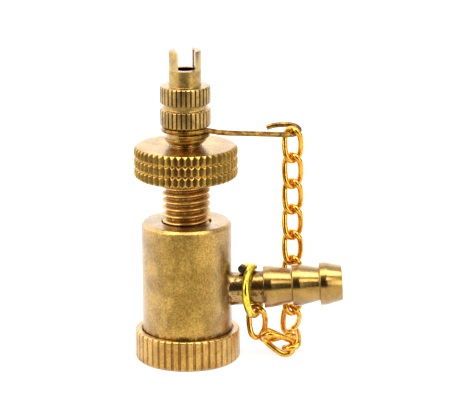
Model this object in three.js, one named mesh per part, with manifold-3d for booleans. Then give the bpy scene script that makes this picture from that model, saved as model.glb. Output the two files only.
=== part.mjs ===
// A turned brass screw-down filling valve with a hose barb, a union nut, a handwheel,
// a tyre-type valve stem on the hollow spindle, and a slotted dust cap on a chain.
// Millimetres, +Z up. The valve stands on its union nut; the spindle is vertical,
// the barb points to +X, and the cap's chain runs behind the barb at +Y.

import * as THREE from "three";
import { mergeVertices } from "three/addons/utils/BufferGeometryUtils.js";
import Module from "manifold-3d";

const wasm = await Module();
wasm.setup();

// ---------------------------------------------------------------- driving dimensions

const GAP = 0.1; // running clearance between neighbouring metal pieces
const FACETS = { small: 12, core: 16, medium: 24, barb: 28, body: 32, nut: 44 }; // round a turned surface
const BEYOND = 1; // how far a cutting shape stands past the face it opens

const NUT = {
  height: 7.65, radius: 13.0, rim: 0.6, flutes: 44, fluteDepth: 0.38,
  bodyClearance: 0.3, threadRadius: 10.4, socketDepth: 4.3, threadTop: 5.2, grooveRadius: 11.95,
  leadIn: 1.5, leadInTop: 0.5, topEdge: 0.3,
};
const BODY = {
  bottom: 5.5, top: 35.1, radius: 11.1, chamfer: 0.7, bottomEdge: 0.4, throatRadius: 3.5, seatTop: 9.5,
  boreRadius: 5.2, threadBottom: 24.4, threadTop: 34.2, mouthRadius: 6.15, grooveRadius: 10.6,
};
const GLAND = { z: 22.8, half: 0.75, grooveRadius: 6.35, ringRadius: 5.6, ringWire: 0.65 };
const SNAP = { z: 6.5, wire: 0.4, split: 1.6 }; // the ring that holds the union nut on the body
const GASKET = { inner: 5, outer: 9.9, gap: 0.25 };
const THREAD = {
  pitch: 1.75, crest: 5.94, bottom: 28.0, top: 45.7, clearance: 0.2, facets: 16,
  marks: [[4.9, 0], [4.9, 0.25], [5.94, 0.5625], [5.94, 0.6875]], // radius, share of the pitch
};
const SPINDLE = {
  lip: 12.0, lipTop: 12.9, lipRadius: 3.0, spigot: 2.2, shoulder: 15.4, foot: 4.4, waist: 3.2,
  footTop: 16.2, waistBottom: 16.8, waistTop: 18.3, shankBottom: 18.9, shank: 4.85,
  threadCore: 4.2, threadLap: 0.2, collar: 46.3, collarRadius: 5.6, hubRadius: 4.9, hubTop: 52.4,
  passage: 1.2, coreCone: 49.0, coreChamber: 50.0, coreRadius: 2.65, stemRadius: 3.85,
  stemTop: 61.9, stemEdge: 0.5, hollow: 3.0,
};
const SEAT_DISC = { outer: 4.6, seatGap: 0.2 };
const WHEEL = {
  bottom: 46.4, top: 54.2, radius: 12.71, chamfer: 0.7, teeth: 48, toothDepth: 0.8,
  grooves: [49.0, 51.6], grooveHalf: 0.55, grooveDepth: 0.75, stemClearance: 0.12,
};
const CORE = {
  bottom: 54.6, top: 61.2, radius: 2.5, tip: 2.1, bore: 1.5, neck: 0.8, springSeat: 55.3,
  gasketLow: 56.4, gasketHigh: 58.0, gasketRoot: 2.0, gasketOuter: 2.58,
  springLow: 55.55, springHigh: 59.0, coil: 1.02, coilWire: 0.2, coilTurns: 5,
  pin: 0.45, pinTop: 61.5, collar: 1.2, collarLow: 59.25, collarHigh: 59.65,
  cup: 1.7, cupLow: 52.4, cupHigh: 53.3, sealInner: 0.55, sealOuter: 1.6,
};
const CAP = {
  bottom: 55.0, mouthOuter: 4.45, collarZ: 56.0, collarRadius: 5.27, stemClearance: 0.15,
  grooveBottom: 56.35, grooveTop: 59.2, grooveRadius: 4.5, bandRadius: 6.2, band1: 63.65,
  waistRadius: 5.5, band2: 64.7, bandTop: 69.2, flutes: 33, fluteDepth: 0.34, edge: 0.35,
  cavityTop: 63.2, forkRadius: 3.98, forkBore: 2.4, boreBottom: 70.6, top: 77.9,
  slotWidth: 4.2, slotBottom: 73.2, slotYaw: 98,
};
const CAP_SEAL = { inner: 0.9, outer: 3.6, gap: 0.15 };
const BARB = {
  z: 16.9, rise: 3.0, root: 6.4, neck: 4.12, neckEnd: 18.97, bore: 3.2, end: 38.45,
  socket: 4.25, socketStart: 5.6,
  barbs: [
    { start: 18.97, land: 20.8, radius: 5.25, taperEnd: 25.85, taper: 4.22 },
    { start: 26.1, land: 27.8, radius: 5.25, taperEnd: 32.7, taper: 4.18 },
    { start: 32.95, land: 34.5, radius: 5.35, taperEnd: 38.45, taper: 4.38 },
  ],
};
const LEASH = { wire: 0.66, radius: 5.35, low: 57.1, high: 58.45, start: -28, end: -468, step: 20 };
const LEASH_ARM = [
  [4.95, -2.35, 58.4], [6.1, -1.75, 58.15], [7.6, -1.05, 57.7], [9.6, -0.3, 57.3], [13, 1.2, 56.8],
  [17, 3.1, 56.2], [21, 5.0, 55.6], [24.4, 6.6, 55.1], [26.3, 7.4, 54.95], [27.6, 8.3, 55.2],
  [28.0, 9.4, 55.7], [27.3, 10.6, 56.2], [25.7, 11.1, 56.55], [23.6, 11.0, 56.6],
  [21.6, 10.9, 56.4], [19.9, 10.8, 55.9],
];
const NECK_RING = {
  wire: 0.95, radius: 6.0, x: 16.6, sag: 0.8, yaw: 19.3, lean: 5, opening: 2.2,
  from: -15, to: 375, step: 15,
};
const LINK = { wire: 0.66, halfLength: 4.06, halfWidth: 2.0, twist: -45, pitch: 6.6 };
const CHAIN = { x: 26.3, y: 7.4, top: 52.36, hanging: 7 };
// The links that lie below the hanging ones: centre, direction of the length, roll about it.
const LYING = [
  { at: [26.0, 8.95, 6.62], along: [0.1, -0.38, 0.92], roll: 0 },
  { at: [22.48, 4.23, 3.55], along: [0.995, 0.009, -0.096], roll: 86 },
  { at: [26.47, 1.87, 2.76], along: [-0.263, -0.963, -0.06], roll: 34 },
  { at: [22.44, -0.95, 3.61], along: [-0.87, -0.005, 0.492], roll: -13 },
  { at: [17.3, 0.39, 8.71], along: [-0.03, -0.055, 0.998], roll: 4 },
];

// ---------------------------------------------------------------- materials

function brass(color, roughness) {
  return new THREE.MeshStandardMaterial({ color, roughness, metalness: 1 });
}

const agedBrass = brass(0xb08a45, 0.38);
const barbBrass = brass(0xa88a58, 0.4);
const capBrass = brass(0xb58f4a, 0.34);
const leashBrass = brass(0x7d6236, 0.42);
const brightRing = brass(0xe6d22a, 0.15);
const goldChain = brass(0xe09a25, 0.2);
const springSteel = brass(0xc9c9c6, 0.3);
const rubber = new THREE.MeshStandardMaterial({ color: 0x1c1a18, roughness: 0.8, metalness: 0 });
const sealRed = new THREE.MeshStandardMaterial({ color: 0x8a2f22, roughness: 0.6, metalness: 0 });

// ---------------------------------------------------------------- shape helpers

const radians = (degrees) => (degrees * Math.PI) / 180;

// A turned shape about Z from [radius, z] points. Where a point has a third value, the
// surface there is cut inwards by that depth times cut(angle), which flutes or knurls it.
function turned(profile, facets = FACETS.body, cut = null) {
  const points = profile.map(([r, z]) => new THREE.Vector2(r, z));
  const shape = new THREE.LatheGeometry(points, facets);
  const place = shape.attributes.position;
  if (cut) {
    for (let k = 0; k < place.count; k += 1) {
      const facet = Math.floor(k / profile.length) % facets;
      const [r, , depth = 0] = profile[k % profile.length];
      const scale = r > 0 ? (r - depth * cut((facet * 2 * Math.PI) / facets)) / r : 1;
      place.setX(k, place.getX(k) * scale);
      place.setZ(k, place.getZ(k) * scale);
    }
  }
  shape.rotateX(Math.PI / 2);
  return shape;
}

// A round wire along a smooth curve.
function wire(curve, radius, steps, sides = 8, closed = false) {
  const section = new THREE.Shape();
  for (let k = 0; k < sides; k += 1) {
    const angle = (2 * Math.PI * k) / sides;
    const spot = [radius * Math.cos(angle), radius * Math.sin(angle)];
    if (k === 0) section.moveTo(...spot);
    else section.lineTo(...spot);
  }
  section.closePath();
  if (closed) curve.closed = true;
  return new THREE.ExtrudeGeometry(section, { steps, extrudePath: curve, bevelEnabled: false });
}

function solid(shape) {
  const bare = shape.clone();
  bare.deleteAttribute("normal");
  bare.deleteAttribute("uv");
  const merged = mergeVertices(bare, 1e-4);
  const index = merged.index.array;
  const corners = [];
  for (let k = 0; k < index.length; k += 3) {
    const [a, b, c] = [index[k], index[k + 1], index[k + 2]];
    if (a !== b && b !== c && c !== a) corners.push(a, b, c);
  }
  const mesh = new wasm.Mesh({
    numProp: 3,
    vertProperties: new Float32Array(merged.attributes.position.array),
    triVerts: new Uint32Array(corners),
  });
  return new wasm.Manifold(mesh);
}

function shapeOf(body) {
  const { vertProperties, triVerts } = body.getMesh();
  const shape = new THREE.BufferGeometry();
  shape.setAttribute("position", new THREE.BufferAttribute(vertProperties, 3));
  shape.setIndex(new THREE.BufferAttribute(triVerts, 1));
  return shape;
}

// A screw thread as one solid: a helical profile of root and crest flats with straight flanks.
function threadSolid(bottom, top, grow = 0) {
  const { pitch, crest, facets, marks } = THREAD;
  const first = Math.floor(bottom / pitch) - 2;
  const turns = Math.ceil((top - bottom) / pitch) + 4;
  const levels = turns * marks.length;
  const position = [];
  const number = (column, level) => {
    const wrapped = column === facets;
    return (wrapped ? 0 : column) * (levels + marks.length + 1) + level + (wrapped ? marks.length : 0);
  };
  for (let column = 0; column < facets; column += 1) {
    for (let level = 0; level <= levels + marks.length; level += 1) {
      const [radius, part] = marks[level % marks.length];
      const along = first + Math.floor(level / marks.length) + part + column / facets;
      const angle = (2 * Math.PI * column) / facets;
      const r = radius + grow;
      position.push(r * Math.cos(angle), r * Math.sin(angle), along * pitch);
    }
  }
  const index = [];
  for (let column = 0; column < facets; column += 1) {
    for (let level = 0; level < levels; level += 1) {
      const [a, b] = [number(column, level), number(column + 1, level)];
      const [c, d] = [number(column + 1, level + 1), number(column, level + 1)];
      index.push(a, b, c, a, c, d);
    }
  }
  const low = position.length / 3;
  position.push(0, 0, first * pitch, 0, 0, (first + turns + 1) * pitch);
  for (let column = 0; column < facets; column += 1) {
    index.push(number(column + 1, 0), number(column, 0), low);
    index.push(number(column, levels), number(column + 1, levels), low + 1);
  }
  for (let step = 0; step < marks.length; step += 1) {
    index.push(number(0, step), number(0, step + 1), low);
    index.push(number(0, levels + step + 1), number(0, levels + step), low + 1);
  }
  const shape = new THREE.BufferGeometry();
  shape.setAttribute("position", new THREE.Float32BufferAttribute(position, 3));
  shape.setIndex(index);
  const reach = crest + grow + BEYOND;
  const slice = solid(turned([[0, bottom], [reach, bottom], [reach, top], [0, top]], FACETS.small));
  return solid(shape).intersect(slice);
}

const valve = new THREE.Group();

function add(name, shape, material) {
  const mesh = new THREE.Mesh(shape, material);
  mesh.name = name;
  valve.add(mesh);
  return mesh;
}

// The barb's axis rises gently from the spindle's axis. Pieces on it are made along Z and turned.
function onBarbAxis(mesh) {
  mesh.position.set(0, 0, BARB.z);
  mesh.rotation.y = radians(90 - BARB.rise);
  return mesh;
}

// ---------------------------------------------------------------- union nut

// A flute is a narrow groove with a wide flat between: three facets for each flute.
const flute = (count) => (angle) => (Math.round((angle * count * 3) / (2 * Math.PI)) % 3 === 0 ? 1 : 0);

function couplingNut() {
  const { height, radius, rim, fluteDepth, topEdge, threadRadius, threadTop, grooveRadius } = NUT;
  const mouth = BODY.radius + NUT.bodyClearance;
  const grooveHalf = SNAP.wire + GAP;
  const outside = turned([
    [0, 0],
    [radius - rim, 0],
    [radius, rim, fluteDepth],
    [radius, height - topEdge, fluteDepth],
    [radius - topEdge, height],
    [0, height],
  ], NUT.flutes * 3, flute(NUT.flutes));
  const inside = turned([
    [0, -BEYOND],
    [threadRadius + NUT.leadIn, -BEYOND],
    [threadRadius, NUT.leadInTop],
    [threadRadius, threadTop],
    [mouth, threadTop],
    [mouth, SNAP.z - grooveHalf],
    [grooveRadius, SNAP.z - grooveHalf],
    [grooveRadius, SNAP.z + grooveHalf],
    [mouth, SNAP.z + grooveHalf],
    [mouth, height + BEYOND],
    [0, height + BEYOND],
  ], FACETS.nut);
  return shapeOf(solid(outside).subtract(solid(inside)));
}

function washer(inner, outer, low, high, facets = FACETS.barb) {
  return turned([[inner, low], [outer, low], [outer, high], [inner, high], [inner, low]], facets);
}

function snapRing() {
  const outer = NUT.grooveRadius - GAP;
  const inner = BODY.grooveRadius + GAP;
  const ring = washer(inner, outer, SNAP.z - SNAP.wire, SNAP.z + SNAP.wire, FACETS.nut);
  const split = new THREE.BoxGeometry(outer, SNAP.split, 4 * SNAP.wire);
  split.translate(-outer, 0, SNAP.z);
  return shapeOf(solid(ring).subtract(solid(split)));
}

function gasket() {
  return washer(GASKET.inner, GASKET.outer, NUT.socketDepth, BODY.bottom - GASKET.gap);
}

// ---------------------------------------------------------------- body and barb

function valveBody() {
  const { bottom, top, radius, chamfer, throatRadius, seatTop, boreRadius, mouthRadius } = BODY;
  const grooveHalf = SNAP.wire + GAP;
  const blank = turned([
    [throatRadius, bottom],
    [radius - BODY.bottomEdge, bottom],
    [radius, bottom + BODY.bottomEdge],
    [radius, SNAP.z - grooveHalf],
    [BODY.grooveRadius, SNAP.z - grooveHalf],
    [BODY.grooveRadius, SNAP.z + grooveHalf],
    [radius, SNAP.z + grooveHalf],
    [radius, top - chamfer],
    [radius - chamfer, top],
    [mouthRadius, top],
    [mouthRadius, BODY.threadTop],
    [boreRadius, BODY.threadTop],
    [boreRadius, GLAND.z + GLAND.half],
    [GLAND.grooveRadius, GLAND.z + GLAND.half],
    [GLAND.grooveRadius, GLAND.z - GLAND.half],
    [boreRadius, GLAND.z - GLAND.half],
    [boreRadius, seatTop],
    [throatRadius, seatTop],
    [throatRadius, bottom],
  ]);
  const port = new THREE.CylinderGeometry(BARB.socket, BARB.socket, radius, FACETS.barb);
  port.rotateX(Math.PI / 2);
  port.translate(0, 0, BARB.socketStart + radius / 2);
  port.rotateY(radians(90 - BARB.rise));
  port.translate(0, 0, BARB.z);
  const thread = threadSolid(BODY.threadBottom, BODY.threadTop + GAP, THREAD.clearance);
  return shapeOf(solid(blank).subtract(solid(port)).subtract(thread));
}

function hoseBarb() {
  const profile = [[BARB.bore, BARB.root], [BARB.neck, BARB.root], [BARB.neck, BARB.neckEnd]];
  for (const { start, land, radius, taperEnd, taper } of BARB.barbs) {
    profile.push([radius, start], [radius, land], [taper, taperEnd]);
  }
  profile.push([BARB.bore, BARB.end], [BARB.bore, BARB.root]);
  return turned(profile, FACETS.barb);
}

// ---------------------------------------------------------------- spindle, wheel and seals

function spindle() {
  const s = SPINDLE;
  const shank = turned([
    [s.passage, s.lip],
    [s.lipRadius, s.lip],
    [s.lipRadius, s.lipTop],
    [s.spigot, s.lipTop],
    [s.spigot, s.shoulder],
    [s.foot, s.shoulder],
    [s.foot, s.footTop],
    [s.waist, s.waistBottom],
    [s.waist, s.waistTop],
    [s.shank, s.shankBottom],
    [s.shank, THREAD.bottom + s.threadLap],
    [s.threadCore, THREAD.bottom + s.threadLap],
    [s.threadCore, THREAD.top - s.threadLap],
    [s.collarRadius, THREAD.top - s.threadLap],
    [s.collarRadius, s.collar],
    [s.hubRadius, s.collar],
    [s.hubRadius, s.hubTop],
    [s.stemRadius, s.hubTop],
    [s.stemRadius, s.stemTop - s.stemEdge],
    [s.stemRadius - s.stemEdge, s.stemTop],
    [s.coreRadius, s.stemTop],
    [s.coreRadius, s.coreChamber],
    [s.passage, s.coreCone],
    [s.passage, s.lip],
  ], FACETS.medium);
  const hole = turned([[0, 0], [s.hollow, 0], [s.hollow, s.stemTop], [0, s.stemTop]], FACETS.small);
  const thread = threadSolid(THREAD.bottom, THREAD.top).subtract(solid(hole));
  return shapeOf(solid(shank).add(thread));
}

function handwheel() {
  const w = WHEEL;
  const hub = SPINDLE.hubRadius + GAP;
  const stem = SPINDLE.stemRadius + w.stemClearance;
  const ledge = SPINDLE.hubTop + GAP;
  const profile = [[0, w.bottom], [w.radius - w.chamfer, w.bottom]];
  profile.push([w.radius, w.bottom + w.chamfer, w.toothDepth]);
  for (const z of w.grooves) {
    profile.push([w.radius, z - w.grooveHalf, w.toothDepth]);
    profile.push([w.radius - w.grooveDepth, z]);
    profile.push([w.radius, z + w.grooveHalf, w.toothDepth]);
  }
  profile.push([w.radius, w.top - w.chamfer, w.toothDepth], [w.radius - w.chamfer, w.top], [0, w.top]);
  const tooth = (angle) => Math.round((angle * w.teeth * 2) / (2 * Math.PI)) % 2;
  const rim = turned(profile, w.teeth * 2, tooth);
  const eye = turned([
    [0, w.bottom - BEYOND], [hub, w.bottom - BEYOND], [hub, ledge], [stem, ledge],
    [stem, w.top + BEYOND], [0, w.top + BEYOND],
  ], FACETS.medium);
  return shapeOf(solid(rim).subtract(solid(eye)));
}

function seatDisc() {
  const low = SPINDLE.lipTop + SEAT_DISC.seatGap;
  return washer(SPINDLE.spigot + GAP, SEAT_DISC.outer, low, SPINDLE.shoulder - GAP);
}

function oring(radius, z, thickness) {
  const profile = [];
  for (let k = 0; k <= 6; k += 1) {
    const angle = (Math.PI * k) / 3;
    profile.push([radius + thickness * Math.cos(angle), z + thickness * Math.sin(angle)]);
  }
  return turned(profile, FACETS.medium);
}

// ---------------------------------------------------------------- valve core

function coreBody() {
  const c = CORE;
  return turned([
    [c.neck, c.bottom],
    [c.tip, c.bottom],
    [c.gasketRoot, c.gasketLow],
    [c.gasketRoot, c.gasketHigh],
    [c.radius, c.gasketHigh],
    [c.radius, c.top],
    [c.bore, c.top],
    [c.bore, c.springSeat],
    [c.neck, c.springSeat],
    [c.neck, c.bottom],
  ], FACETS.core);
}

function corePin() {
  const c = CORE;
  return turned([
    [0, c.cupLow],
    [c.cup, c.cupLow],
    [c.cup, c.cupHigh],
    [c.pin, c.cupHigh],
    [c.pin, c.collarLow],
    [c.collar, c.collarLow],
    [c.collar, c.collarHigh],
    [c.pin, c.collarHigh],
    [c.pin, c.pinTop],
    [0, c.pinTop],
  ], FACETS.small);
}

function coreGasket() {
  const c = CORE;
  const inner = c.gasketRoot + GAP / 2;
  return washer(inner, c.gasketOuter, c.gasketLow + GAP, c.gasketHigh - GAP, FACETS.core);
}

function coreSeal() {
  const c = CORE;
  return washer(c.sealInner, c.sealOuter, c.cupHigh + GAP, c.bottom - GAP, FACETS.core);
}

class Helix extends THREE.Curve {
  constructor(radius, low, high, turns) {
    super();
    Object.assign(this, { radius, low, high, turns });
  }

  getPoint(t, target = new THREE.Vector3()) {
    const angle = 2 * Math.PI * this.turns * t;
    const z = this.low + (this.high - this.low) * t;
    return target.set(this.radius * Math.cos(angle), this.radius * Math.sin(angle), z);
  }
}

function coreSpring() {
  const c = CORE;
  const path = new Helix(c.coil, c.springLow + c.coilWire, c.springHigh - c.coilWire, c.coilTurns);
  return wire(path, c.coilWire, c.coilTurns * 8, 4);
}

// ---------------------------------------------------------------- dust cap

function dustCap() {
  const c = CAP;
  const hollow = SPINDLE.stemRadius + c.stemClearance;
  const bands = turned([
    [0, c.grooveTop],
    [c.bandRadius - c.edge, c.grooveTop],
    [c.bandRadius, c.grooveTop + c.edge, c.fluteDepth],
    [c.bandRadius, c.band1 - c.edge, c.fluteDepth],
    [c.waistRadius, c.band1],
    [c.waistRadius, c.band2],
    [c.bandRadius, c.band2 + c.edge, c.fluteDepth],
    [c.bandRadius, c.bandTop - c.edge, c.fluteDepth],
    [c.bandRadius - c.edge, c.bandTop],
    [0, c.bandTop],
  ], c.flutes * 3, flute(c.flutes));
  const core = turned([
    [0, c.bottom],
    [c.mouthOuter, c.bottom],
    [c.collarRadius, c.collarZ],
    [c.collarRadius, c.grooveBottom],
    [c.grooveRadius, c.grooveBottom],
    [c.grooveRadius, c.grooveTop + c.edge],
    [c.forkRadius, c.grooveTop + c.edge],
    [c.forkRadius, c.top],
    [0, c.top],
  ], FACETS.barb);
  const cavity = turned([
    [0, c.bottom - BEYOND], [hollow, c.bottom - BEYOND], [hollow, c.cavityTop], [0, c.cavityTop],
  ], FACETS.medium);
  const bore = turned([
    [0, c.boreBottom], [c.forkBore, c.boreBottom], [c.forkBore, c.top + BEYOND], [0, c.top + BEYOND],
  ], FACETS.medium);
  const depth = c.top + BEYOND - c.slotBottom;
  const slot = new THREE.BoxGeometry(c.slotWidth, 4 * c.forkRadius, depth);
  slot.translate(0, 0, c.slotBottom + depth / 2);
  slot.rotateZ(radians(c.slotYaw - 90));
  const whole = solid(bands).add(solid(core));
  return shapeOf(whole.subtract(solid(cavity)).subtract(solid(bore)).subtract(solid(slot)));
}

function capSeal() {
  const { inner, outer, gap } = CAP_SEAL;
  return washer(inner, outer, SPINDLE.stemTop + gap, CAP.cavityTop - gap, FACETS.core);
}

// ---------------------------------------------------------------- leash, ring and chain

// The leash wire lies in the cap's groove for a turn and a quarter, one strand above the
// other at the front, then runs out to a hook that holds the chain.
function leash() {
  const points = [];
  for (let angle = LEASH.end; angle < LEASH.start; angle += LEASH.step) {
    const share = Math.min(1, (angle - LEASH.end) / (LEASH.start - LEASH.end));
    const lift = THREE.MathUtils.smoothstep(share, 0.12, 0.8);
    const z = LEASH.low + (LEASH.high - LEASH.low) * lift;
    const turn = radians(angle);
    points.push(new THREE.Vector3(LEASH.radius * Math.cos(turn), LEASH.radius * Math.sin(turn), z));
  }
  points.push(...LEASH_ARM.map((p) => new THREE.Vector3(...p)));
  return wire(new THREE.CatmullRomCurve3(points, false, "centripetal"), LEASH.wire, 72, 6);
}

// The split ring on the barb's neck: one coil with lapped ends, its rear half sprung open
// along the neck. Angles run from the top over the back.
function neckRing() {
  const { radius, x, sag, yaw, lean, opening, from, to, step } = NECK_RING;
  const points = [];
  const centre = BARB.z + x * Math.tan(radians(BARB.rise)) - sag;
  for (let angle = from; angle <= to; angle += step) {
    const turn = radians(angle);
    const [y, rise] = [radius * Math.sin(turn), radius * Math.cos(turn)];
    const sprung = opening * THREE.MathUtils.smoothstep(-angle, -180, -from);
    const along = x + y * Math.tan(radians(yaw)) - rise * Math.tan(radians(lean)) - sprung;
    points.push(new THREE.Vector3(along, y, centre + rise));
  }
  return wire(new THREE.CatmullRomCurve3(points, false, "centripetal"), NECK_RING.wire, 32, 8);
}

// A curb link: a long loop of wire whose two ends are twisted opposite ways about its length.
class LinkCurve extends THREE.Curve {
  getPoint(t, target = new THREE.Vector3()) {
    const { halfLength, halfWidth, twist } = LINK;
    const straight = 2 * (halfLength - halfWidth);
    const arc = Math.PI * halfWidth;
    const total = 2 * (straight + arc);
    let s = ((t % 1) + 1) % 1 * total;
    let [x, z] = [0, 0];
    const edge = halfLength - halfWidth;
    if (s < straight) {
      [x, z] = [halfWidth, -edge + s];
    } else if (s < straight + arc) {
      const turn = (s - straight) / halfWidth;
      [x, z] = [halfWidth * Math.cos(turn), edge + halfWidth * Math.sin(turn)];
    } else if (s < 2 * straight + arc) {
      s -= straight + arc;
      [x, z] = [-halfWidth, edge - s];
    } else {
      const turn = (s - 2 * straight - arc) / halfWidth;
      [x, z] = [-halfWidth * Math.cos(turn), -edge - halfWidth * Math.sin(turn)];
    }
    const angle = radians(twist) * (z / halfLength);
    return target.set(x * Math.cos(angle), x * Math.sin(angle), z);
  }
}

// Places of all the links, from the leash down to the ring.
function linkPlaces() {
  const places = [];
  for (let k = 0; k < CHAIN.hanging; k += 1) {
    places.push({ at: [CHAIN.x, CHAIN.y, CHAIN.top - LINK.pitch * k], along: [0, 0, 1], roll: 0 });
  }
  places.push(...LYING);
  return places;
}

function addChain() {
  const shape = wire(new LinkCurve(), LINK.wire, 20, 5, true);
  linkPlaces().forEach(({ at, along, roll }, k) => {
    const name = `chain_link_${String(k + 1).padStart(2, "0")}`;
    const mesh = add(name, shape, goldChain);
    mesh.position.set(...at);
    const up = new THREE.Vector3(0, 0, 1);
    const lean = new THREE.Quaternion().setFromUnitVectors(up, new THREE.Vector3(...along).normalize());
    mesh.quaternion.copy(lean).multiply(new THREE.Quaternion().setFromAxisAngle(up, radians(roll)));
  });
}

// ---------------------------------------------------------------- assembly

add("coupling_nut", couplingNut(), agedBrass);
add("nut_snap_ring", snapRing(), springSteel);
add("coupling_gasket", gasket(), rubber);
add("valve_body", valveBody(), agedBrass);
add("gland_o_ring", oring(GLAND.ringRadius, GLAND.z, GLAND.ringWire), rubber);
onBarbAxis(add("hose_barb", hoseBarb(), barbBrass));
add("seat_disc", seatDisc(), rubber);
add("spindle", spindle(), agedBrass);
add("handwheel", handwheel(), agedBrass);
add("valve_core_body", coreBody(), agedBrass);
add("valve_core_gasket", coreGasket(), sealRed);
add("valve_core_spring", coreSpring(), springSteel);
add("valve_core_pin", corePin(), agedBrass);
add("valve_core_seal", coreSeal(), rubber);
add("cap_seal", capSeal(), sealRed);
add("dust_cap", dustCap(), capBrass);
add("cap_leash", leash(), leashBrass);
add("neck_ring", neckRing(), brightRing);
addChain();

// The origin is at the bottom centre of the object's box.
const box = new THREE.Box3().setFromObject(valve, true);
valve.position.set(-(box.min.x + box.max.x) / 2, -(box.min.y + box.max.y) / 2, -box.min.z);

export default valve;
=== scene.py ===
"""The looks of a turned brass filling valve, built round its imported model.

Sizes are in millimetres from the spindle's axis, and MM turns them into metres.
"""

import math

import bmesh
import bpy
import numpy as np
from mathutils import Matrix, Vector


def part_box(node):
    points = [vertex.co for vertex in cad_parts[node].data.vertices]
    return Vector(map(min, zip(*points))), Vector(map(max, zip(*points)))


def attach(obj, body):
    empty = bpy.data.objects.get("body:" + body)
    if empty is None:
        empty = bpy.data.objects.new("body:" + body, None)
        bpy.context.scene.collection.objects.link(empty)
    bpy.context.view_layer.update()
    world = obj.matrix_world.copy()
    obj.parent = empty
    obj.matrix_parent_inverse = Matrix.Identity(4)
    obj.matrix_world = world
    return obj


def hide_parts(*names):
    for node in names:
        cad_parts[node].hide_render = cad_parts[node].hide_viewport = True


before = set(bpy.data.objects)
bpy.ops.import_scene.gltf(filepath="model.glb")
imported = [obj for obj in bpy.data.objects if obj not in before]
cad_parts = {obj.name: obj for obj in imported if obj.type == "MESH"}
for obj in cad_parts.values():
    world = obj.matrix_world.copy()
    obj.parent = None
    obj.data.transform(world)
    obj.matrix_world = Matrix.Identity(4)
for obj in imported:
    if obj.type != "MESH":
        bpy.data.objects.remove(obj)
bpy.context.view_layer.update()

MM = 0.001
TURN = 2 * math.pi

# ---------------------------------------------------------------- driving dimensions

BODY_LOW, BODY_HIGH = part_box("valve_body")
AXIS = Vector(((BODY_LOW.x + BODY_HIGH.x) / 2, (BODY_LOW.y + BODY_HIGH.y) / 2, 0))

NUT = {"height": 7.65, "radius": 13.0, "rim": 0.6, "flutes": 44, "depth": 0.38, "mouth": 11.4}
BODY = {"bottom": 5.5, "top": 35.1, "radius": 11.1, "chamfer": 0.7, "mouth": 6.15, "bore": 6.0}
THREAD = {"pitch": 1.75, "crest": 5.94, "root": 4.9, "bottom": 28.0, "top": 45.7}
STEM = {"pitch": 0.794, "crest": 3.85, "root": 3.45, "bottom": 52.9, "top": 61.5}
SPINDLE = {"lip": 12.0, "shoulder": 15.4, "shank_bottom": 18.9, "shank": 4.85, "collar": 46.3,
           "collar_radius": 5.6, "hub": 4.9, "hub_top": 52.4, "stem_top": 61.9, "core": 2.65}
WHEEL = {"bottom": 46.4, "top": 54.2, "radius": 12.71, "chamfer": 0.7, "teeth": 48,
         "depth": 0.8, "grooves": (49.0, 51.6), "groove_half": 0.55, "groove_depth": 0.75}
CAP = {"bottom": 55.0, "mouth": 4.45, "collar_z": 56.0, "collar": 5.27, "groove_low": 56.35,
       "groove_high": 59.2, "groove": 4.5, "band": 6.2, "band_1": 63.65, "waist": 5.5,
       "band_2": 64.7, "band_top": 69.2, "flutes": 33, "depth": 0.34, "edge": 0.35,
       "hollow": 4.0, "cavity_top": 63.2, "fork": 3.98, "fork_bore": 2.4, "bore_bottom": 70.6,
       "top": 77.9, "slot_half": 2.1, "slot_bottom": 73.2, "slot_turn": 98}
BARB = {"z": 16.9, "rise": 3.0, "root": 6.4, "neck": 4.12, "neck_end": 18.97, "bore": 3.2,
        "end": 38.45}
BARBS = [(18.97, 20.8, 5.25, 25.85, 4.22), (26.1, 27.8, 5.25, 32.7, 4.18),
         (32.95, 34.5, 5.35, 38.45, 4.38)]
LEASH = {"wire": 0.66, "radius": 5.35, "low": 57.1, "high": 58.45, "start": -28, "end": -468}
LEASH_ARM = [(4.95, -2.35, 58.4), (6.1, -1.75, 58.15), (7.6, -1.05, 57.7), (9.6, -0.3, 57.3),
             (13, 1.2, 56.8), (17, 3.1, 56.2), (21, 5.0, 55.6), (24.4, 6.6, 55.1),
             (26.3, 7.4, 54.95), (27.6, 8.3, 55.2), (28.0, 9.4, 55.7), (27.3, 10.6, 56.2),
             (25.7, 11.1, 56.55), (23.6, 11.0, 56.6), (21.6, 10.9, 56.4), (19.9, 10.8, 55.9)]
NECK_RING = {"wire": 0.95, "radius": 6.0, "x": 16.6, "sag": 0.8, "yaw": 19.3, "lean": 5,
             "opening": 2.2, "first": -15, "last": 375}
LINK = {"wire": 0.73, "half_length": 4.06, "half_width": 2.0, "twist": -45}
LINKS = 12

# ---------------------------------------------------------------- mesh helpers


def rounded(points):
    """A profile with its corners rounded. A point is (radius, z, gripped, fillet)."""
    points = [tuple(p) + (0.0,) * (4 - len(p)) for p in points]
    out = []
    for k, (*here, fillet) in enumerate(points):
        here = Vector(here)
        if fillet == 0:
            out.append(tuple(here))
            continue
        before = Vector(points[k - 1][:3])
        after = Vector(points[(k + 1) % len(points)][:3])
        start = here + (before - here) * min(0.5, fillet / (before - here).length)
        end = here + (after - here) * min(0.5, fillet / (after - here).length)
        for step in range(5):
            t = step / 4
            out.append(tuple(start * (1 - t) ** 2 + here * 2 * t * (1 - t) + end * t**2))
    return out


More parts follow.
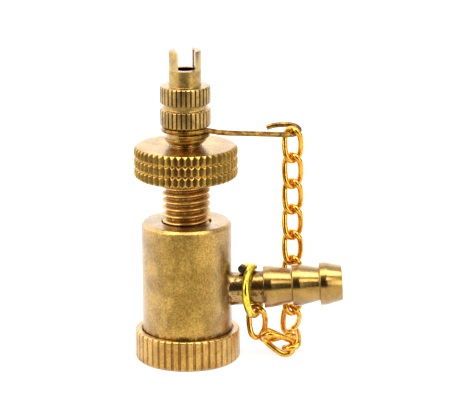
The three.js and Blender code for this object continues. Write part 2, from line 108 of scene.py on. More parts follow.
def piece(name, points, faces, sharp=40):
    """A named mesh object from points in millimetres, with its origin on the spindle's axis.

    A point's fourth number is how much its colour is darkened, deep in a cut or thread root."""
    mesh = bpy.data.meshes.new(name)
    mesh.from_pydata([Vector(p[:3]) * MM for p in points], [], faces)
    cut_darkening = mesh.attributes.new("cut_darkening", "FLOAT", "POINT")
    cut_darkening.data.foreach_set("value", [p[3] if len(p) > 3 else 0.0 for p in points])
    cleaner = bmesh.new()
    cleaner.from_mesh(mesh)
    bmesh.ops.remove_doubles(cleaner, verts=cleaner.verts, dist=1e-7)
    bmesh.ops.recalc_face_normals(cleaner, faces=cleaner.faces)
    cleaner.to_mesh(mesh)
    cleaner.free()
    mesh.polygons.foreach_set("use_smooth", [True] * len(mesh.polygons))
    mesh.set_sharp_from_angle(angle=math.radians(sharp))
    made = bpy.data.objects.new(name, mesh)
    bpy.context.scene.collection.objects.link(made)
    made.location = AXIS
    return made


def revolved(profile, segments, grip=None):
    """Points and faces of a closed profile turned about Z.

    grip(angle) is the radius of a milled or rolled grip, which cuts the points marked with 1.
    """
    points, faces = [], []
    count = len(profile)
    for k in range(segments):
        angle = TURN * k / segments
        milled = grip(angle) if grip else 0.0
        for radius, z, gripped in profile:
            r, darkened = radius, 0.0
            if gripped and milled < radius:
                r = milled
                # Points deep in a cut get a mark that darkens their colour, more the deeper they
                # lie.
                darkened = min(1.0, (radius - milled) / 0.3)
            points.append((r * math.cos(angle), r * math.sin(angle), z, darkened))
    for k in range(segments):
        here, there = k * count, ((k + 1) % segments) * count
        for j in range(count):
            i = (j + 1) % count
            faces.append((here + j, there + j, there + i, here + i))
    return points, faces


def finely(profile, step=0.1):
    """A profile with more points along its gripped stretches."""
    out = []
    for k, here in enumerate(profile):
        there = profile[(k + 1) % len(profile)]
        out.append(here)
        if here[2] and there[2]:
            parts = math.ceil(math.dist(here[:2], there[:2]) / step)
            for n in range(1, parts):
                out.append(tuple(a + (b - a) * n / parts for a, b in zip(here, there)))
    return out


def joined(*parts):
    """One list of points and one of faces from several."""
    points, faces = [], []
    for more_points, more_faces in parts:
        start = len(points)
        points += more_points
        faces += [tuple(start + k for k in face) for face in more_faces]
    return points, faces


def screw(pitch, crest, root, bottom, top, segments=72):
    """A right-hand external thread's surface, with rows that follow the helix."""
    marks = [0.0, 0.03, 0.12, 0.22, 0.25, 0.29, 0.40, 0.52, 0.56, 0.625, 0.69, 0.73, 0.84, 0.96]
    shape = [(0.0, 0.0), (0.22, 0.0), (0.29, 0.1), (0.52, 0.9), (0.59, 1.0), (0.66, 1.0),
             (0.73, 0.9), (0.96, 0.1), (1.0, 0.0)]
    xs, ys = zip(*shape)
    first = math.floor(bottom / pitch) - 1
    turns = math.ceil(top / pitch) - first + 1
    rows = [first + turn + mark for turn in range(turns) for mark in marks]
    points, faces = [], []
    for k in range(segments + 1):
        angle = TURN * k / segments
        for row in rows:
            z = min(top, max(bottom, (row + k / segments) * pitch))
            height = float(np.interp((z / pitch - k / segments) % 1.0, xs, ys))
            runout = min(1.0, (z - bottom) / pitch, (top - z) / pitch)
            r = root + (crest - root) * height * runout
            # The fourth number darkens the colour towards the thread's roots.
            points.append((r * math.cos(angle), r * math.sin(angle), z, 1 - height))
    for k in range(segments):
        for j in range(len(rows) - 1):
            a = k * len(rows) + j
            b = a + len(rows)
            faces.append((a, b, b + 1, a + 1))
    return points, faces


def smooth_path(points, steps):
    """A centripetal Catmull-Rom curve through the points, as a list of many more."""
    points = [Vector(p) for p in points]
    points = [points[0] * 2 - points[1]] + points + [points[-1] * 2 - points[-2]]
    out = []
    for p0, p1, p2, p3 in zip(points, points[1:], points[2:], points[3:]):
        t0 = 0.0
        t1 = t0 + math.sqrt((p1 - p0).length)
        t2 = t1 + math.sqrt((p2 - p1).length)
        t3 = t2 + math.sqrt((p3 - p2).length)
        for step in range(steps):
            t = t1 + (t2 - t1) * step / steps
            a1 = p0.lerp(p1, (t - t0) / (t1 - t0))
            a2 = p1.lerp(p2, (t - t1) / (t2 - t1))
            a3 = p2.lerp(p3, (t - t2) / (t3 - t2))
            b1 = a1.lerp(a2, (t - t0) / (t2 - t0))
            b2 = a2.lerp(a3, (t - t1) / (t3 - t1))
            out.append(b1.lerp(b2, (t - t1) / (t2 - t1)))
    out.append(points[-2])
    return out


def wire(path, radius, sides=16, closed=False):
    """A round wire along a path. Open ends are closed by small rounded caps."""
    path = [Vector(p) for p in path]
    count = len(path)
    tangents = []
    for k in range(count):
        before = path[k - 1] if closed or k else path[k]
        after = path[(k + 1) % count] if closed or k < count - 1 else path[k]
        tangents.append((after - before).normalized())
    normal = tangents[0].orthogonal().normalized()
    rings, frames = [], []
    for k in range(count):
        if k:
            turn = tangents[k - 1].rotation_difference(tangents[k])
            normal = turn @ normal
        frames.append(normal.copy())
    twist = 0.0
    if closed:
        last = tangents[-1].rotation_difference(tangents[0]) @ frames[-1]
        twist = last.angle(frames[0]) if last.angle(frames[0], 0) > 1e-6 else 0.0
        if last.cross(frames[0]).dot(tangents[0]) < 0:
            twist = -twist
    for k in range(count):
        side = Matrix.Rotation(twist * k / count, 3, tangents[k]) @ frames[k]
        up = tangents[k].cross(side)
        rings.append((path[k], side, up, radius))
    if not closed:
        bevel = radius * 0.3
        start = (path[0] + tangents[0] * bevel, *rings[0][1:3], radius)
        end = (path[-1] - tangents[-1] * bevel, *rings[-1][1:3], radius)
        inset = radius - bevel
        rings = [(path[0], *rings[0][1:3], 0.0), (path[0], *rings[0][1:3], inset), start,
                 *rings[1:-1], end, (path[-1], *rings[-1][1:3], inset),
                 (path[-1], *rings[-1][1:3], 0.0)]
    points, faces = [], []
    for centre, side, up, r in rings:
        for k in range(sides):
            angle = TURN * k / sides
            points.append(centre + side * (r * math.cos(angle)) + up * (r * math.sin(angle)))
    for j in range(len(rings) if closed else len(rings) - 1):
        for k in range(sides):
            a, b = j * sides, ((j + 1) % len(rings)) * sides
            n = (k + 1) % sides
            faces.append((a + k, a + n, b + n, b + k))
    return points, faces


def flutes(count, radius, depth, share):
    """Narrow grooves with flats between, milled round a grip."""

    def grip(angle):
        place = (angle * count / TURN) % 1.0
        place = min(place, 1 - place) / (share / 2)
        return radius - depth * (1 - place**2) ** 0.5 if place < 1 else radius

    return grip


def teeth(count, radius, depth):
    """Sharp teeth with straight flanks, rolled round a grip."""

    def grip(angle):
        place = (angle * count / TURN) % 1.0
        return radius - depth * min(1.0, 1.06 * (1 - abs(2 * place - 1)))

    return grip


# ---------------------------------------------------------------- material helpers


def node(tree, kind, inputs=None, out=0, **settings):
    made = tree.nodes.new("ShaderNode" + kind)
    for key, value in settings.items():
        setattr(made, key, value)
    for key, value in (inputs or {}).items():
        if isinstance(value, bpy.types.NodeSocket):
            tree.links.new(value, made.inputs[key])
        else:
            made.inputs[key].default_value = value
    return made.outputs[out]


def calc(tree, operation, a, b=0.0):
    return node(tree, "Math", {0: a, 1: b}, operation=operation)


def ramp(tree, value, low, high, to_low=0.0, to_high=1.0):
    inputs = {"Value": value, 1: low, 2: high, 3: to_low, 4: to_high}
    return node(tree, "MapRange", inputs, interpolation_type="SMOOTHSTEP")


def blend(tree, share, a, b, how="MIX"):
    inputs = {0: share, 6: a, 7: b}
    return node(tree, "Mix", inputs, out=2, data_type="RGBA", blend_type=how)


def noise(tree, place, scale, detail=2.0, rough=0.5, distortion=0.0):
    inputs = {"Vector": place, "Scale": scale, "Detail": detail, "Roughness": rough,
              "Distortion": distortion}
    return node(tree, "TexNoise", inputs)


def colour(text):
    """A linear colour from a sRGB hex string."""
    parts = [int(text[k:k + 2], 16) / 255 for k in (0, 2, 4)]
    return [((c + 0.055) / 1.055) ** 2.4 if c > 0.04045 else c / 12.92 for c in parts] + [1.0]


def started(name):
    """A new material, its node tree, its shader, and its coordinates in millimetres."""
    material = bpy.data.materials.new(name)
    material.use_nodes = True
    tree = material.node_tree
    shader = tree.nodes["Principled BSDF"]
    place = node(tree, "TexCoord", out=3)
    place = node(tree, "VectorMath", {0: place, 3: 1 / MM}, operation="SCALE")
    return material, tree, shader, place


def turned_marks(tree, place, rings, across=0.7):
    """Fine tool marks that run round Z, as on a lathe."""
    x, y, z = (node(tree, "SeparateXYZ", {0: place}, out=k) for k in range(3))
    radius = calc(tree, "SQRT", calc(tree, "ADD", calc(tree, "MULTIPLY", x, x),
                                     calc(tree, "MULTIPLY", y, y)))
    safe = calc(tree, "MAXIMUM", radius, 0.01)
    inputs = {
        0: calc(tree, "MULTIPLY", radius, rings),
        1: calc(tree, "MULTIPLY", z, rings),
        2: calc(tree, "MULTIPLY", calc(tree, "DIVIDE", x, safe), across),
    }
    where = node(tree, "CombineXYZ", inputs)
    last = calc(tree, "MULTIPLY", calc(tree, "DIVIDE", y, safe), across)
    return node(tree, "TexNoise", {"Vector": where, "W": last, "Scale": 1.0, "Detail": 3.0},
                noise_dimensions="4D")


def streaks(tree, place, turn):
    """Fine hatching, as polishing cloth leaves: a noise stretched along one direction."""
    where = node(tree, "Mapping", {"Vector": place, "Rotation": turn, "Scale": (0.25, 6.0, 6.0)})
    return noise(tree, where, 1.0, 2.0)


def brass(name, light, dark, rough=(0.28, 0.42), blotch=0.16, rings=6.0, ring_height=1.5,
          specks=0.35, scratch=0.5, edge=0.35, stain="5a4020", stain_share=0.3, grain=0.004,
          cut_darkening=0.7, haze=0.3, mottle=0.3, dark_band=(0, 0, 0)):
    """Turned brass with patina, tool marks, scratches, dark specks and bright worn edges.

    haze is the thin pale film that handling leaves on it, seen at a glancing angle. mottle is
    the fine unevenness of its colour. The last argument is the stretch along its turning axis,
    in millimetres, where its colour is made darker, and how much."""
    material, tree, shader, place = started(name)
    patches = ramp(tree, noise(tree, place, blotch, 5.0, 0.6, 0.6), 0.36, 0.64)
    base = blend(tree, patches, colour(dark), colour(light))
    fine = ramp(tree, noise(tree, place, 2.3, 3.0, 0.65), 0.34, 0.66, 1 - mottle, 1 + mottle / 2)
    base = blend(tree, 1.0, base, node(tree, "CombineColor", {0: fine, 1: fine, 2: fine}),
                 "MULTIPLY")
    stained = ramp(tree, noise(tree, place, 0.45, 6.0, 0.7, 1.2), 0.56, 0.72)
    base = blend(tree, calc(tree, "MULTIPLY", stained, stain_share), base, colour(stain))
    spots = ramp(tree, noise(tree, place, 2.6, 3.0, 0.6), 0.66, 0.72)
    base = blend(tree, calc(tree, "MULTIPLY", spots, specks), base, colour("3b2a14"))
    worn = ramp(tree, node(tree, "NewGeometry", out=7), 0.52, 0.6)
    base = blend(tree, calc(tree, "MULTIPLY", worn, edge), base, colour("e6cf98"))
    # The colour is darkened towards dark brown deep in cuts and thread roots, as the points'
    # fourth number says.
    darkened = node(tree, "Attribute", out=2, attribute_name="cut_darkening")
    patchy = ramp(tree, noise(tree, place, 1.2, 3.0), 0.25, 0.6, 0.55, 1.0)
    darkened = calc(tree, "MULTIPLY", calc(tree, "MULTIPLY", darkened, patchy), cut_darkening)
    # The colour is also darkened over a given band along the turning axis.
    low, high, band_darkness = dark_band
    if band_darkness:
        along = node(tree, "SeparateXYZ", {0: place}, out=2)
        in_band = calc(tree, "MULTIPLY", ramp(tree, along, low - 0.7, low + 0.2),
                      ramp(tree, along, high - 0.2, high + 0.7, 1.0, 0.0))
        in_band = calc(tree, "MULTIPLY", in_band, ramp(tree, noise(tree, place, 0.6, 5.0, 0.7),
                                                     0.48, 0.58))
        darkened = calc(tree, "MAXIMUM", darkened, calc(tree, "MULTIPLY", in_band, band_darkness))
    base = blend(tree, darkened, base, colour("4a2204"))
    marks = turned_marks(tree, place, rings)
    rubbed = calc(tree, "ADD", streaks(tree, place, (0.6, 0.75, 0.1)),
                  streaks(tree, place, (-0.5, -0.6, 0.9)))
    roughness = ramp(tree, noise(tree, place, 0.35, 5.0, 0.65), 0.3, 0.7, rough[0], rough[1])
    roughness = calc(tree, "ADD", roughness, calc(tree, "MULTIPLY", marks, 0.06))
    roughness = calc(tree, "ADD", roughness, calc(tree, "MULTIPLY", spots, 0.15))
    roughness = calc(tree, "ADD", roughness, calc(tree, "MULTIPLY", darkened, 0.2))
    height = calc(tree, "MULTIPLY", marks, ring_height)
    height = calc(tree, "ADD", height, calc(tree, "MULTIPLY", rubbed, scratch))
    height = calc(tree, "ADD", height, calc(tree, "MULTIPLY", noise(tree, place, 3.5, 3.0), 0.8))
    normal = node(tree, "Bump", {"Strength": 1.0, "Distance": grain * MM, "Height": height})
    tree.links.new(base, shader.inputs["Base Color"])
    tree.links.new(roughness, shader.inputs["Roughness"])
    tree.links.new(normal, shader.inputs["Normal"])
    shader.inputs["Metallic"].default_value = 1.0
    film = ramp(tree, node(tree, "LayerWeight", {0: 0.5}, out=1), 0.02, 0.4, 0.15 * haze, haze)
    tree.links.new(film, shader.inputs["Coat Weight"])
    shader.inputs["Coat Roughness"].default_value = 0.3
    shader.inputs["Coat IOR"].default_value = 1.75
    return material


AGED = brass("aged_brass", "be9645", "9c772e", rough=(0.24, 0.36), rings=5.0, scratch=2.4,
             specks=0.5, mottle=0.38, dark_band=(7.4, 8.2, 0.8), haze=0.75)
CAP_BRASS = brass("cap_brass", "c09b50", "98783a", rough=(0.18, 0.28), blotch=0.3, cut_darkening=1.0,
                  dark_band=(57.6, 59.2, 0.6), haze=0.5, mottle=0.24)
# Painted shade: a near-black red-brown brass for the inside of the key's bore.
BORE_BRASS_PAINTED_SHADE = brass("bore_painted_shade", "6a2408", "3a1204", rough=(0.3, 0.4), haze=0.0, edge=0.0)
BARB_BRASS = brass("barb_brass", "b08a44", "957234", rough=(0.12, 0.18), rings=8.0,
                   ring_height=3.0, specks=0.3, scratch=0.9, mottle=0.12, dark_band=(9.0, 19.4, 0.85),
                   haze=0.6)
# Painted light: the nut's brass is given a lighter colour than the body's, to make up for the
# darker reflections its flats get.
NUT_BRASS_PAINTED_LIGHT = brass("nut_brass_painted_light", "d3a552", "b58639", rough=(0.22, 0.34), rings=5.0, scratch=1.2,
                  cut_darkening=0.5, haze=0.6)
# Painted light: the spindle's brass is given a lighter colour, to make up for the shade the wheel
# and the body's top cast on its thread.
SCREW_BRASS_PAINTED_LIGHT = brass("screw_brass_painted_light", "edbf68", "cf9a45", rough=(0.2, 0.32), rings=4.0, cut_darkening=0.8,
                    haze=0.1)
WHEEL_BRASS = brass("wheel_brass", "cda64c", "ae8535", rough=(0.17, 0.27), rings=7.0,
                    ring_height=1.0, cut_darkening=0.6, haze=0.2)
CORE_BRASS = brass("core_brass", "b58b3c", "966b2a", rough=(0.25, 0.35), blotch=0.8)
LEASH_BRASS = brass("leash_brass", "b08636", "684414", rough=(0.2, 0.34), blotch=0.5,
                    specks=0.4, edge=0.2, stain_share=0.5, haze=0.1)
CHAIN_GOLD = brass("gold_chain", "f6bb3c", "e09a1e", rough=(0.08, 0.16), blotch=0.7, haze=0.3,
                   specks=0.1, scratch=0.2, edge=0.1, ring_height=0.2, stain_share=0.15,
                   stain="8a4a0a")
RING_YELLOW = brass("bright_ring", "f4e04a", "e2c81e", rough=(0.07, 0.14), blotch=0.6, haze=0.3,
                    specks=0.05, scratch=0.1, edge=0.1, ring_height=0.1, stain_share=0.1,
                    stain="b89a10")
# Painted shade: a dark brass for the split ring's two wire ends.
RING_END_PAINTED_SHADE = brass("ring_end_painted_shade", "6a5230", "2c1f10", rough=(0.5, 0.7), blotch=1.6, specks=0.8,
                 edge=0.0, grain=0.03)
STEEL = brass("spring_steel", "c9c9c6", "a9a9a6", rough=(0.2, 0.35), specks=0.1, edge=0.2,
              stain="77756f", stain_share=0.2)


def rubber(name, light, dark):
    """A matt moulded rubber with a fine grain and pale dust."""
    material, tree, shader, place = started(name)
    patches = ramp(tree, noise(tree, place, 0.8, 4.0, 0.6), 0.35, 0.65)
    base = blend(tree, patches, colour(dark), colour(light))
    dust = ramp(tree, noise(tree, place, 5.0, 2.0), 0.62, 0.7, 0.0, 0.3)
    base = blend(tree, dust, base, colour("a09a90"))
    height = noise(tree, place, 6.0, 4.0, 0.7)
    normal = node(tree, "Bump", {"Strength": 0.6, "Distance": 0.02 * MM, "Height": height})
    tree.links.new(base, shader.inputs["Base Color"])
    tree.links.new(normal, shader.inputs["Normal"])
    shader.inputs["Roughness"].default_value = 0.7
    return material


BLACK_RUBBER = rubber("black_rubber", "2a2825", "161412")
RED_SEAL = rubber("red_seal", "98382a", "742418")

# ---------------------------------------------------------------- pieces


def finish_piece(made, material, body, nodes):
    made.data.materials.append(material)
    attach(made, body)
    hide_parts(*nodes)
    return made


def coupling_nut():
    n = NUT
    edge = 0.35
    profile = rounded([
        (10.4, 0.6, 0, 0.1), (11.8, 0, 0, 0.2), (n["radius"] - n["rim"], 0, 1, 0.25),
        (n["radius"], n["rim"], 1, 0.2), (n["radius"], n["height"] - edge, 1, 0.15),
        (n["radius"] - edge, n["height"], 1, 0.15), (n["mouth"], n["height"], 0, 0.2),
        (n["mouth"], 5.2, 0, 0.05), (10.4, 5.2, 0, 0.05),
    ])
    grip = flutes(n["flutes"], n["radius"], n["depth"], 0.34)
    shape = revolved(profile, n["flutes"] * 16, grip)
    finish_piece(piece("fluted_nut", *shape, sharp=50), NUT_BRASS_PAINTED_LIGHT, "union_nut", ["coupling_nut"])


def valve_body():
    b = BODY
    profile = rounded([
        (3.5, b["bottom"], 0, 0.1), (b["radius"] - 0.4, b["bottom"], 0, 0.1),
        (b["radius"], b["bottom"] + 0.4, 0, 0.1), (b["radius"], b["top"] - b["chamfer"], 0, 0.16),
        (b["radius"] - b["chamfer"], b["top"], 0, 0.16), (b["mouth"], b["top"], 0, 0.2),
        (b["mouth"], 34.2, 0, 0.1), (b["bore"], 34.1, 0, 0), (b["bore"], 24.4, 0, 0),
        (5.2, 24.2, 0, 0), (5.2, 9.5, 0, 0), (3.5, 9.5, 0, 0),
    ])
    shape = revolved(profile, 192)
    finish_piece(piece("turned_body", *shape), AGED, "body", ["valve_body"])


def hose_barb():
    b = BARB
    outline = [(b["bore"], b["root"], 0, 0), (b["neck"], b["root"], 0, 0)]
    outline.append((b["neck"], b["neck_end"], 0, 0.1))
    for start, land, radius, taper_end, taper in BARBS:
        outline.append((radius, start, 0, 0.14))
        outline.append((radius, land, 0, 0.3))
        outline.append((taper, taper_end, 0, 0.2))
    outline.append((b["bore"], b["end"], 0, 0.3))
    made = piece("barbed_outlet", *revolved(rounded(outline), 128))
    made.location = AXIS + Vector((0, 0, b["z"] * MM))
    made.rotation_euler = (0, math.radians(90 - b["rise"]), 0)
    finish_piece(made, BARB_BRASS, "body", ["hose_barb"])


def spindle():
    s = SPINDLE
    hole = 1.2
    shank = rounded([
        (hole, s["lip"], 0, 0), (3.0, s["lip"], 0, 0.1), (3.0, 12.9, 0, 0.1), (2.2, 12.9, 0, 0),
        (2.2, s["shoulder"], 0, 0), (4.4, s["shoulder"], 0, 0.1), (4.4, 16.2, 0, 0.1),
        (3.2, 16.8, 0, 0.2), (3.2, 18.3, 0, 0.2), (s["shank"], s["shank_bottom"], 0, 0.1),
        (s["shank"], THREAD["top"], 0, 0), (s["collar_radius"], THREAD["top"], 0, 0.1),
        (s["collar_radius"], s["collar"], 0, 0.1), (s["hub"], s["collar"], 0, 0),
        (s["hub"], s["hub_top"], 0, 0.1), (STEM["root"], s["hub_top"], 0, 0),
        (STEM["root"], s["stem_top"] - 0.3, 0, 0.1), (STEM["root"] - 0.3, s["stem_top"], 0, 0.1),
        (s["core"], s["stem_top"], 0, 0.1), (s["core"], 50.0, 0, 0), (hole, 49.0, 0, 0),
    ])
    shape = joined(revolved(shank, 96), screw(**THREAD), screw(**STEM, segments=64))
    finish_piece(piece("screw_spindle", *shape, sharp=60), SCREW_BRASS_PAINTED_LIGHT, "spindle", ["spindle"])


def handwheel():
    w = WHEEL
    rim, hub, stem = w["radius"], SPINDLE["hub"] + 0.1, SPINDLE["hub_top"] + 0.1
    outline = [(hub, w["bottom"], 0, 0.1), (rim - w["chamfer"], w["bottom"], 1, 0.12),
               (rim, w["bottom"] + w["chamfer"], 1, 0.08)]
    for z in w["grooves"]:
        outline.append((rim, z - w["groove_half"], 1, 0.08))
        outline.append((rim - w["groove_depth"], z, 1, 0.1))
        outline.append((rim, z + w["groove_half"], 1, 0.08))
    outline += [(rim, w["top"] - w["chamfer"], 1, 0.08), (rim - w["chamfer"], w["top"], 1, 0.12),
                (3.97, w["top"], 0, 0.1), (3.97, stem, 0, 0), (hub, stem, 0, 0)]
    grip = teeth(w["teeth"], rim, w["depth"])
    shape = revolved(finely(rounded(outline)), w["teeth"] * 12, grip)
    finish_piece(piece("knurled_wheel", *shape, sharp=25), WHEEL_BRASS, "spindle", ["handwheel"])


def fork_prong(side):
    """One prong of the key: a slice of the tube beside the slot, with bevelled top edges."""
    c = CAP

    def outline(inset):
        outer, inner = c["fork"] - inset, c["fork_bore"] + inset
        flat = c["slot_half"] + inset
        points = []
        for radius, backwards in ((outer, False), (inner, True)):
            first = math.asin(min(1, flat / radius))
            angles = [first + (math.pi - 2 * first) * k / 24 for k in range(25)]
            for angle in reversed(angles) if backwards else angles:
                points.append((radius * math.cos(angle), radius * math.sin(angle)))
        return points

    levels = [(c["slot_bottom"] - 0.5, 0.0), (c["top"] - 0.28, 0.0), (c["top"] - 0.08, 0.06),
              (c["top"], 0.2)]
    points, faces = [], []
    turn = Matrix.Rotation(math.radians(c["slot_turn"] + (180 if side else 0)), 3, "Z")
    for z, inset in levels:
        points += [turn @ Vector((x, y, z)) for x, y in outline(inset)]
    count = len(points) // len(levels)
    for j in range(len(levels) - 1):
        for k in range(count):
            n = (k + 1) % count
            a, b = j * count, (j + 1) * count
            faces.append((a + k, a + n, b + n, b + k))
    faces.append(tuple(range(count))[::-1])
    faces.append(tuple(range(len(points) - count, len(points))))
    return points, faces


def dust_cap():
    c = CAP
    outline = rounded([
        (c["hollow"], c["bottom"], 0, 0.1), (c["mouth"], c["bottom"], 0, 0.12),
        (c["collar"], c["collar_z"], 0, 0.12), (c["collar"], c["groove_low"], 0, 0.1),
        (c["groove"], c["groove_low"], 0, 0.1), (c["groove"], c["groove_high"], 0, 0.1),
        (c["band"] - c["edge"], c["groove_high"], 1, 0.15),
        (c["band"], c["groove_high"] + c["edge"], 1, 0.15),
        (c["band"], c["band_1"] - c["edge"], 1, 0.15),
        (c["waist"], c["band_1"], 1, 0.15), (c["waist"], c["band_2"], 1, 0.15),
        (c["band"], c["band_2"] + c["edge"], 1, 0.15),
        (c["band"], c["band_top"] - c["edge"], 1, 0.15),
        (c["band"] - c["edge"], c["band_top"], 1, 0.15), (c["fork"], c["band_top"], 0, 0.1),
        (c["fork"], c["slot_bottom"], 0, 0.08), (c["fork_bore"], c["slot_bottom"], 0, 0.08),
        (c["fork_bore"], c["bore_bottom"], 0, 0.1), (0, c["bore_bottom"], 0, 0),
        (0, c["cavity_top"], 0, 0), (c["hollow"], c["cavity_top"], 0, 0),
    ])
    grip = flutes(c["flutes"], c["band"], c["depth"], 0.36)
    shape = revolved(outline, c["flutes"] * 16, grip)
    shape = joined(shape, fork_prong(False), fork_prong(True))
    made = piece("key_cap", *shape)
    finish_piece(made, CAP_BRASS, "dust_cap", ["dust_cap"])
    # The faces inside the key's bore get the painted-shade material.
    made.data.materials.append(BORE_BRASS_PAINTED_SHADE)
    for face in made.data.polygons:
        centre = face.center / MM
        if math.hypot(centre.x, centre.y) < c["fork_bore"] and centre.z > c["band_top"]:
            face.material_index = 1


def cap_leash():
    points = []
    for angle in range(LEASH["end"], LEASH["start"] - 10, 20):
        share = min(1, (angle - LEASH["end"]) / (LEASH["start"] - LEASH["end"]))
        t = min(1, max(0, (share - 0.12) / 0.68))
        z = LEASH["low"] + (LEASH["high"] - LEASH["low"]) * t * t * (3 - 2 * t)
        turn = math.radians(angle)
        points.append((LEASH["radius"] * math.cos(turn), LEASH["radius"] * math.sin(turn), z))
    path = smooth_path(points + LEASH_ARM, 8)
    finish_piece(piece("wire_leash", *wire(path, LEASH["wire"], 20)), LEASH_BRASS, "leash",
                 ["cap_leash"])


def neck_ring():
    r = NECK_RING
    centre = BARB["z"] + r["x"] * math.tan(math.radians(BARB["rise"])) - r["sag"]
    points = []
    for angle in range(r["first"], r["last"] + 1, 15):
        turn = math.radians(angle)
        y, rise = r["radius"] * math.sin(turn), r["radius"] * math.cos(turn)
        t = max(0, (180 - angle) / (180 - r["first"]))
        sprung = r["opening"] * t * t * (3 - 2 * t)
        x = r["x"] + y * math.tan(math.radians(r["yaw"])) - sprung
        points.append((x - rise * math.tan(math.radians(r["lean"])), y, centre + rise))
    sides = 24
    made = piece("split_ring", *wire(smooth_path(points, 6), r["wire"], sides))
    finish_piece(made, RING_YELLOW, "neck_ring", ["neck_ring"])
    # Faces near the wire's two ends get the painted-shade material.
    made.data.materials.append(RING_END_PAINTED_SHADE)
    tips = [(Vector(points[0]), 1.7), (Vector(points[-1]), 0.8)]
    for face in made.data.polygons:
        if any((face.center / MM - tip).length < reach * r["wire"] for tip, reach in tips):
            face.material_index = 1


def link_path(count=96):
    """The middle line of a curb link: a long loop, twisted opposite ways at its two ends."""
    half, wide = LINK["half_length"], LINK["half_width"]
    straight, arc = 2 * (half - wide), math.pi * wide
    path = []
    for k in range(count):
        s = 2 * (straight + arc) * k / count
        side = 1 if s < straight + arc else -1
        s %= straight + arc
        if s < straight:
            x, z = wide, s - (half - wide)
        else:
            turn = (s - straight) / wide
            x, z = wide * math.cos(turn), half - wide + wide * math.sin(turn)
        x, z = x * side, z * side
        twist = math.radians(LINK["twist"]) * z / half
        path.append(Vector((x * math.cos(twist), x * math.sin(twist), z)))
    return path


def placed_axes(name):
    """A link's middle and its own axes: across, thickness and length, from its CAD solid."""
    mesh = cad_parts[name].data
    mesh.calc_loop_triangles()
    corners = np.array([[mesh.vertices[v].co for v in t.vertices] for t in mesh.loop_triangles])
    middles = corners.mean(axis=1)
    areas = np.array([t.area for t in mesh.loop_triangles])
    centre = (middles * areas[:, None]).sum(0) / areas.sum()
    offset = middles - centre
    spread = np.einsum("t,ti,tj->ij", areas, offset, offset)
    axes = np.linalg.eigh(spread)[1]
    length, across = Vector(axes[:, 2]), Vector(axes[:, 1])
    thickness = length.cross(across)
    place = Matrix((across, thickness, length)).transposed().to_4x4()
    place.translation = Vector(centre)
    return place


def chain():
    shape = wire(link_path(), LINK["wire"], 16, closed=True)
    for number in range(1, LINKS + 1):
        cad_name = f"chain_link_{number:02d}"
        made = piece(f"curb_link_{number:02d}", *shape)
        place = placed_axes(cad_name)
        made.data.transform(place.to_3x3().to_4x4())
        made.location = place.translation
        finish_piece(made, CHAIN_GOLD, f"link_{number:02d}", [cad_name])


coupling_nut()
valve_body()
hose_barb()
spindle()
handwheel()
dust_cap()
cap_leash()
neck_ring()
chain()

INNER = {
    "nut_snap_ring": STEEL, "coupling_gasket": BLACK_RUBBER, "gland_o_ring": BLACK_RUBBER,
    "seat_disc": BLACK_RUBBER, "valve_core_body": CORE_BRASS, "valve_core_gasket": RED_SEAL,
    "valve_core_spring": STEEL, "valve_core_pin": CORE_BRASS, "valve_core_seal": BLACK_RUBBER,
    "cap_seal": RED_SEAL,
}
for name, material in INNER.items():
    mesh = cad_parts[name].data
    mesh.materials.clear()
    mesh.materials.append(material)

# ---------------------------------------------------------------- stage, light and camera

scene = bpy.context.scene
scene.view_settings.view_transform = "Standard"


def lobe(tree, direction, towards, inner, outer):
    """1 near a direction and 0 away from it, for a soft patch of the studio's walls."""
    towards = Vector(towards).normalized()
    match = node(tree, "VectorMath", {0: direction, 1: towards}, out=1, operation="DOT_PRODUCT")
    return ramp(tree, match, math.cos(math.radians(outer)), math.cos(math.radians(inner)))


FLOOR = {"half": 6.0, "shaded_towards": (-0.14, -1, 0), "inner": 12, "outer": 48,
         "starts": 60, "ends": 260, "deepest": 0.65, "base": 0.3, "glow": 0.78}


def stage_floor():
    """A white sweep with painted shade that deepens on the side the front faces."""
    half = FLOOR["half"]
    mesh = bpy.data.meshes.new("floor")
    mesh.from_pydata([(-half, -half, 0), (half, -half, 0), (half, half, 0), (-half, half, 0)], [],
                     [(0, 1, 2, 3)])
    floor = bpy.data.objects.new("floor", mesh)
    scene.collection.objects.link(floor)
    material, tree, shader, place = started("studio_white")
    direction = node(tree, "VectorMath", {0: place}, operation="NORMALIZE")
    ahead = lobe(tree, direction, FLOOR["shaded_towards"], FLOOR["inner"], FLOOR["outer"])
    distance = node(tree, "VectorMath", {0: place}, out=1, operation="LENGTH")
    far = ramp(tree, distance, FLOOR["starts"], FLOOR["ends"], 0.0, FLOOR["deepest"])
    shade = calc(tree, "MULTIPLY", ahead, far)
    lit = calc(tree, "SUBTRACT", 1.0, shade)
    base = calc(tree, "MULTIPLY", lit, FLOOR["base"])
    tree.links.new(node(tree, "CombineColor", {0: base, 1: base, 2: base}),
                   shader.inputs["Base Color"])
    shader.inputs["Roughness"].default_value = 0.9
    shader.inputs["Specular IOR Level"].default_value = 0.0
    shader.inputs["Emission Color"].default_value = (1, 1, 1, 1)
    tree.links.new(calc(tree, "MULTIPLY", lit, FLOOR["glow"]),
                   shader.inputs["Emission Strength"])
    mesh.materials.append(material)


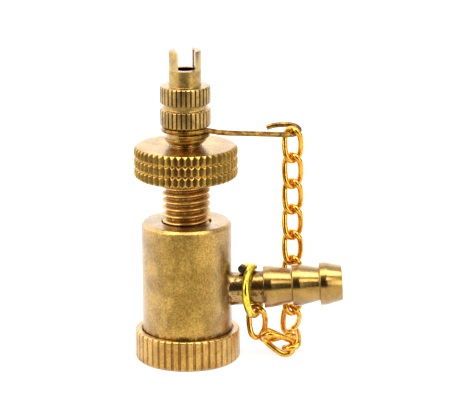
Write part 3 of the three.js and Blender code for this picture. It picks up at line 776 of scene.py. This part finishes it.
# Patches of the studio's walls: degrees to the right of the viewer's side and up, the angles
# from a patch's middle at which it starts and stops fading, and how bright it is.
PANELS = [
    (-100, 15, 25, 70, 1.9), (-150, 20, 15, 50, 2.3), (150, 20, 15, 45, 0.9),
    (0, 20, 10, 58, 0.05), (44, 15, 5, 20, 4.0), (98, 0, 8, 26, 0.02), (4, 76, 6, 16, 3.0),
    (27, 40, 3, 11, 4.5), (64, 66, 8, 18, 6.0), (-64, 66, 8, 18, 6.0), (180, 14, 20, 50, 1.7),
]


def studio_walls():
    """A pale room with lighter and darker panels."""
    world = bpy.data.worlds.new("studio")
    scene.world = world
    world.use_nodes = True
    tree = world.node_tree
    direction = node(tree, "TexCoord", out=0)
    tone = (0.9, 0.9, 0.9, 1)
    for azimuth, elevation, inner, outer, shade in PANELS:
        side, up = math.radians(azimuth), math.radians(elevation)
        towards = (math.sin(side) * math.cos(up), -math.cos(side) * math.cos(up), math.sin(up))
        share = lobe(tree, direction, towards, inner, outer)
        tone = blend(tree, share, tone, (shade, shade, shade, 1))
    tree.links.new(tone, tree.nodes["Background"].inputs["Color"])
    tree.nodes["Background"].inputs["Strength"].default_value = 1.0


def soft_box(name, place, size, watts, target=(0, 0, 0.03)):
    light = bpy.data.lights.new(name, "AREA")
    light.shape = "RECTANGLE"
    light.size, light.size_y = size
    light.energy = watts
    lamp = bpy.data.objects.new(name, light)
    scene.collection.objects.link(lamp)
    lamp.location = place
    aim = Vector(target) - Vector(place)
    lamp.rotation_euler = aim.to_track_quat("-Z", "Y").to_euler()


def studio_camera():
    """The camera stands in front, a little above, with a long lens."""
    distance, elevation, roll = 0.590, math.radians(15.2), math.radians(-0.35)
    target = AXIS + Vector((9.5, 0, 39.0)) * MM
    lens = bpy.data.cameras.new("camera")
    lens.lens = 192
    lens.clip_start = 0.01
    camera = bpy.data.objects.new("camera", lens)
    scene.collection.objects.link(camera)
    back = Vector((0, -math.cos(elevation), math.sin(elevation)))
    camera.location = target + back * distance
    turn = (-back).to_track_quat("-Z", "Y").to_matrix() @ Matrix.Rotation(roll, 3, "Z")
    camera.rotation_euler = turn.to_euler()
    scene.camera = camera


stage_floor()
studio_walls()
soft_box("key_left", (-0.55, -0.35, 0.45), (0.35, 0.5), 2.0)
soft_box("top", (0.05, -0.1, 0.8), (0.5, 0.5), 1.6)
studio_camera()
